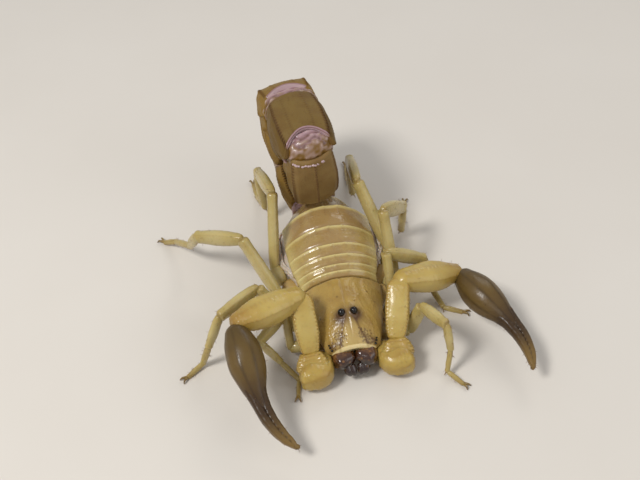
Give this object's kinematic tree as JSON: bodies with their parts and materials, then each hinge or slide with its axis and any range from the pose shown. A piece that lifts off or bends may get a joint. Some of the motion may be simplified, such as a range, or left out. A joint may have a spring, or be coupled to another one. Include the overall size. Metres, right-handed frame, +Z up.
{
  "type": "scorpion",
  "caption": "Fat-tailed desert scorpion, still life-size model standing on its feet with open pincer arms and its tail curled over the back.",
  "frame": {"origin": "middle of the bounding box on the floor", "axes": "+Z up, head towards -Y, the animal's own left towards +X"},
  "size_m": [0.0502, 0.057, 0.0244],
  "materials": {
    "carapace": "satin, granulated amber cuticle",
    "back_plate": "satin amber cuticle with pale rear bands",
    "belly": "soft pale pleura",
    "coxa": "satin straw cuticle",
    "comb": "satin pale cuticle",
    "jaw": "glossy cream cuticle with a dark network",
    "eye": "glossy black",
    "leg": "satin straw yellow cuticle",
    "arm": "satin yellow ochre cuticle",
    "pincer": "glossy olive brown cuticle",
    "tail": "satin ochre cuticle with dark keels",
    "tail_dark": "satin olive brown cuticle with dark keels",
    "sting": "glossy dark brown"
  },
  "bodies": {
    "root": {"median_eye_left": "eye", "median_eye_right": "eye", "carapace": "carapace", "prosoma_underside": "coxa", "chelicera_left": "jaw", "chelicera_right": "jaw", "tergite_1": "back_plate", "tergite_2": "back_plate", "tergite_3": "back_plate", "tergite_4": "back_plate", "tergite_5": "back_plate", "tergite_6": "back_plate", "tergite_7": "back_plate", "belly": "belly", "pecten_left": "comb", "pecten_right": "comb", "tail_segment_1": "tail", "tail_segment_2": "tail", "tail_segment_3": "tail", "tail_segment_4": "tail_dark", "tail_segment_5": "tail_dark", "telson_vesicle": "tail_dark", "telson_sting": "sting", "leg_1_right_femur": "leg", "leg_1_right_patella": "leg", "leg_1_right_foot": "leg", "leg_2_right_femur": "leg", "leg_2_right_patella": "leg", "leg_2_right_foot": "leg", "leg_3_right_femur": "leg", "leg_3_right_patella": "leg", "leg_3_right_foot": "leg", "leg_4_right_femur": "leg", "leg_4_right_patella": "leg", "leg_4_right_foot": "leg", "leg_1_left_femur": "leg", "leg_1_left_patella": "leg", "leg_1_left_foot": "leg", "leg_2_left_femur": "leg", "leg_2_left_patella": "leg", "leg_2_left_foot": "leg", "leg_3_left_femur": "leg", "leg_3_left_patella": "leg", "leg_3_left_foot": "leg", "leg_4_left_femur": "leg", "leg_4_left_patella": "leg", "leg_4_left_foot": "leg", "pedipalp_right_trochanter": "arm", "pedipalp_right_femur": "arm", "pedipalp_right_patella": "arm", "pedipalp_right_hand": "pincer", "pedipalp_right_finger": "pincer", "pedipalp_left_trochanter": "arm", "pedipalp_left_femur": "arm", "pedipalp_left_patella": "arm", "pedipalp_left_hand": "pincer", "pedipalp_left_finger": "pincer"}
  },
  "joints": []
}
